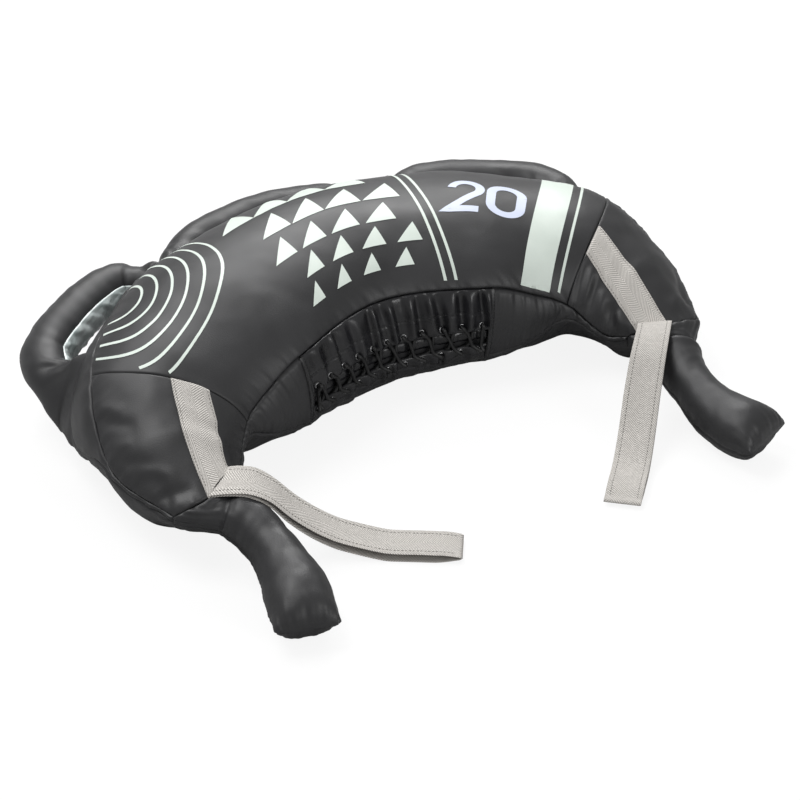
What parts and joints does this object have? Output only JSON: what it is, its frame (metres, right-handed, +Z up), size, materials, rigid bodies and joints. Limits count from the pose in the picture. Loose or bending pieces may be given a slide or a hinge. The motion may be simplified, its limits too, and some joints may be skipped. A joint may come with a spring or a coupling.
{
  "type": "bulgarian bag",
  "caption": "Crescent-shaped weighted training bag with laced filling panel, two flexible end grips, webbing strap loops and padded outer handles.",
  "frame": {"origin": "centre of the whole bag's bounding box, on the plane of its flat underside", "axes": "X runs along the span from the left end to the right end, +Y points to the convex outer side with the padded handles, the two end grips point to -Y, and +Z is up from the surface that the bag lies on"},
  "size_m": [0.7378, 0.6574, 0.1835],
  "materials": {
    "charcoal_leather": "smooth satin charcoal imitation leather",
    "padding_felt": "matte needled felt",
    "filler_canvas": "matte tightly woven canvas",
    "blackened_steel": "blackened bright steel eyelets",
    "black_lace": "matte braided cord",
    "grey_webbing": "matte herringbone webbing with stitched edges",
    "silver_lining": "soft silver-mint coated fabric"
  },
  "bodies": {
    "bag": {"top_print_panel": "charcoal_leather", "left_end_panel": "charcoal_leather", "right_end_panel": "charcoal_leather", "outer_gusset": "charcoal_leather", "bottom_panel": "charcoal_leather", "left_inner_panel": "charcoal_leather", "right_inner_panel": "charcoal_leather", "padding_wrap": "padding_felt", "left_filler_sack": "filler_canvas", "middle_filler_sack": "filler_canvas", "right_filler_sack": "filler_canvas", "upper_lace_flap": "charcoal_leather", "lower_lace_flap": "charcoal_leather", "upper_eyelet_01": "blackened_steel", "upper_eyelet_02": "blackened_steel", "upper_eyelet_03": "blackened_steel", "upper_eyelet_04": "blackened_steel", "upper_eyelet_05": "blackened_steel", "upper_eyelet_06": "blackened_steel", "upper_eyelet_07": "blackened_steel", "upper_eyelet_08": "blackened_steel", "upper_eyelet_09": "blackened_steel", "upper_eyelet_10": "blackened_steel", "upper_eyelet_11": "blackened_steel", "lower_eyelet_01": "blackened_steel", "lower_eyelet_02": "blackened_steel", "lower_eyelet_03": "blackened_steel", "lower_eyelet_04": "blackened_steel", "lower_eyelet_05": "blackened_steel", "lower_eyelet_06": "blackened_steel", "lower_eyelet_07": "blackened_steel", "lower_eyelet_08": "blackened_steel", "lower_eyelet_09": "blackened_steel", "lower_eyelet_10": "blackened_steel", "lower_eyelet_11": "blackened_steel", "lace": "black_lace", "left_lace_binding": "charcoal_leather", "right_lace_binding": "charcoal_leather", "left_strap_run": "grey_webbing", "right_strap_run": "grey_webbing"},
    "left_horn": {"left_horn_sleeve": "charcoal_leather", "left_horn_stuffing": "padding_felt"},
    "right_horn": {"right_horn_sleeve": "charcoal_leather", "right_horn_stuffing": "padding_felt"},
    "left_handle": {"left_handle_tube": "charcoal_leather", "left_handle_lining": "silver_lining"},
    "middle_handle": {"middle_handle_tube": "charcoal_leather", "middle_handle_lining": "silver_lining"},
    "right_handle": {"right_handle_tube": "charcoal_leather", "right_handle_lining": "silver_lining"},
    "left_strap": {"left_strap_loop": "grey_webbing"},
    "right_strap": {"right_strap_loop": "grey_webbing"}
  },
  "joints": [
    {"name": "left_horn_bend", "type": "hinge", "parent": "bag", "child": "left_horn", "pos_m": [-0.29349, -0.12267, 0.05709], "axis": [0, 0, -1], "range_deg": [-4, 20], "stiffness_Nm_per_rad": 12},
    {"name": "right_horn_bend", "type": "hinge", "parent": "bag", "child": "right_horn", "pos_m": [0.29349, -0.12267, 0.05709], "axis": [0, 0, 1], "range_deg": [-4, 20], "stiffness_Nm_per_rad": 12},
    {"name": "left_handle_flex", "type": "hinge", "parent": "bag", "child": "left_handle", "pos_m": [-0.25619, 0.18464, 0.08], "axis": [0.8045, 0.594, 0], "range_deg": [-20, 30], "stiffness_Nm_per_rad": 14},
    {"name": "middle_handle_flex", "type": "hinge", "parent": "bag", "child": "middle_handle", "pos_m": [0, 0.26092, 0.08], "axis": [1, 0, 0], "range_deg": [-20, 30], "stiffness_Nm_per_rad": 14},
    {"name": "right_handle_flex", "type": "hinge", "parent": "bag", "child": "right_handle", "pos_m": [0.25619, 0.18464, 0.08], "axis": [0.8045, -0.594, 0], "range_deg": [-20, 30], "stiffness_Nm_per_rad": 14},
    {"name": "left_strap_fold", "type": "hinge", "parent": "bag", "child": "left_strap", "pos_m": [-0.27806, -0.12347, 0.08897], "axis": [-0.5807, -0.8141, 0], "range_deg": [0, 90]},
    {"name": "right_strap_fold", "type": "hinge", "parent": "bag", "child": "right_strap", "pos_m": [0.27806, -0.12107, 0.08897], "axis": [-0.7193, 0.6947, 0], "range_deg": [0, 90]}
  ]
}
